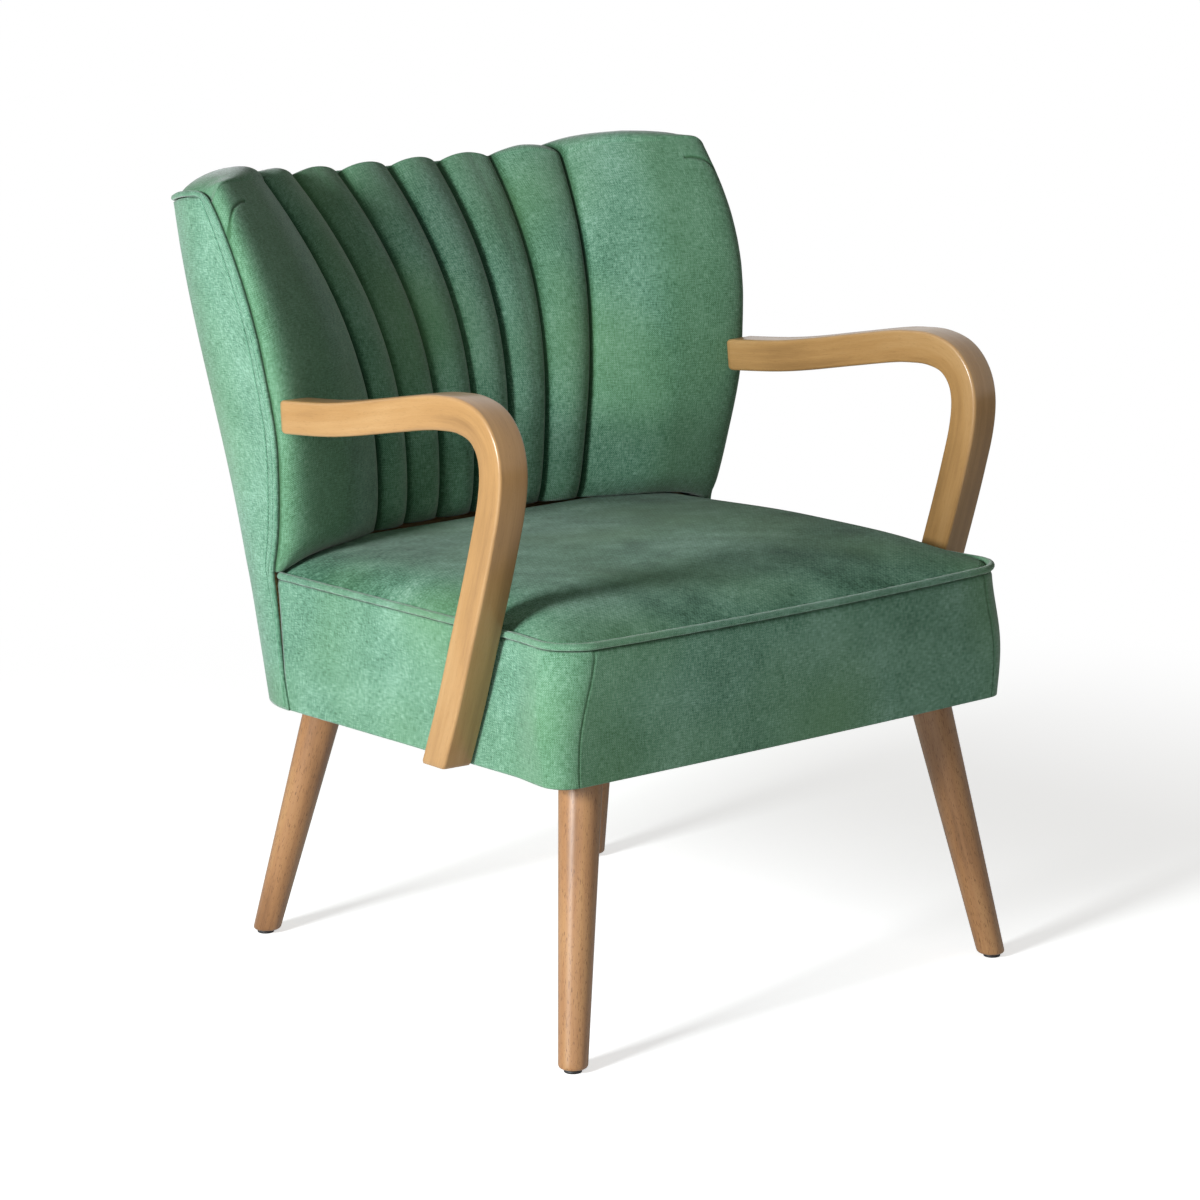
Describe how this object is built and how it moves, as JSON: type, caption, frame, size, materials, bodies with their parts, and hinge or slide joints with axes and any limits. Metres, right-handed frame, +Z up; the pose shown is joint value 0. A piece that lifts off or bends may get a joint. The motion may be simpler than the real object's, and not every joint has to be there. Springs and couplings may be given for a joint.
{
  "type": "occasional chair",
  "caption": "Low upholstered occasional chair with a channelled wing back, piped seat, bent wooden arms and splayed tapered wooden legs.",
  "frame": {"origin": "middle of the whole chair at floor level", "axes": "+Z up, the front of the seat faces -Y, +X to the right seen from the front"},
  "size_m": [0.684, 0.6731, 0.8234],
  "materials": {
    "upholstery": "green chenille with a short nap",
    "piping": "green chenille over cord",
    "arm_wood": "satin varnished, honey coloured",
    "leg_wood": "satin varnished, honey coloured",
    "frame_wood": "raw",
    "plywood": "raw",
    "glide": "matt black",
    "steel": "zinc plated",
    "seat_webbing": "woven elastic",
    "dust_cover": "black non-woven cloth",
    "seat_foam": "open cell"
  },
  "bodies": {
    "root": {"front_leg_left": "leg_wood", "front_leg_right": "leg_wood", "rear_leg_left": "leg_wood", "rear_leg_right": "leg_wood", "front_glide_left": "glide", "front_glide_right": "glide", "rear_glide_left": "glide", "rear_glide_right": "glide", "front_plate_left": "steel", "front_plate_right": "steel", "rear_plate_left": "steel", "rear_plate_right": "steel", "front_bolt_left": "steel", "front_bolt_right": "steel", "rear_bolt_left": "steel", "rear_bolt_right": "steel", "front_rail": "frame_wood", "rear_rail": "frame_wood", "side_rail_left": "frame_wood", "side_rail_right": "frame_wood", "front_block_left": "frame_wood", "front_block_right": "frame_wood", "rear_block_left": "frame_wood", "rear_block_right": "frame_wood", "seat_webbing": "seat_webbing", "seat_foam": "seat_foam", "seat_cover": "upholstery", "seat_boxing": "upholstery", "seat_welt": "piping", "dust_cover": "dust_cover", "back_shell": "plywood", "back_post_left": "frame_wood", "back_post_right": "frame_wood", "back_top_rail": "frame_wood", "back_waist_rail": "frame_wood", "inside_back": "upholstery", "wing_pad_left": "upholstery", "wing_pad_right": "upholstery", "outside_back": "upholstery", "back_welt": "piping", "arm_left": "arm_wood", "arm_right": "arm_wood", "arm_bolts_left": "steel", "arm_bolts_right": "steel", "arm_end_bolt_left": "steel", "arm_end_bolt_right": "steel"}
  },
  "joints": []
}
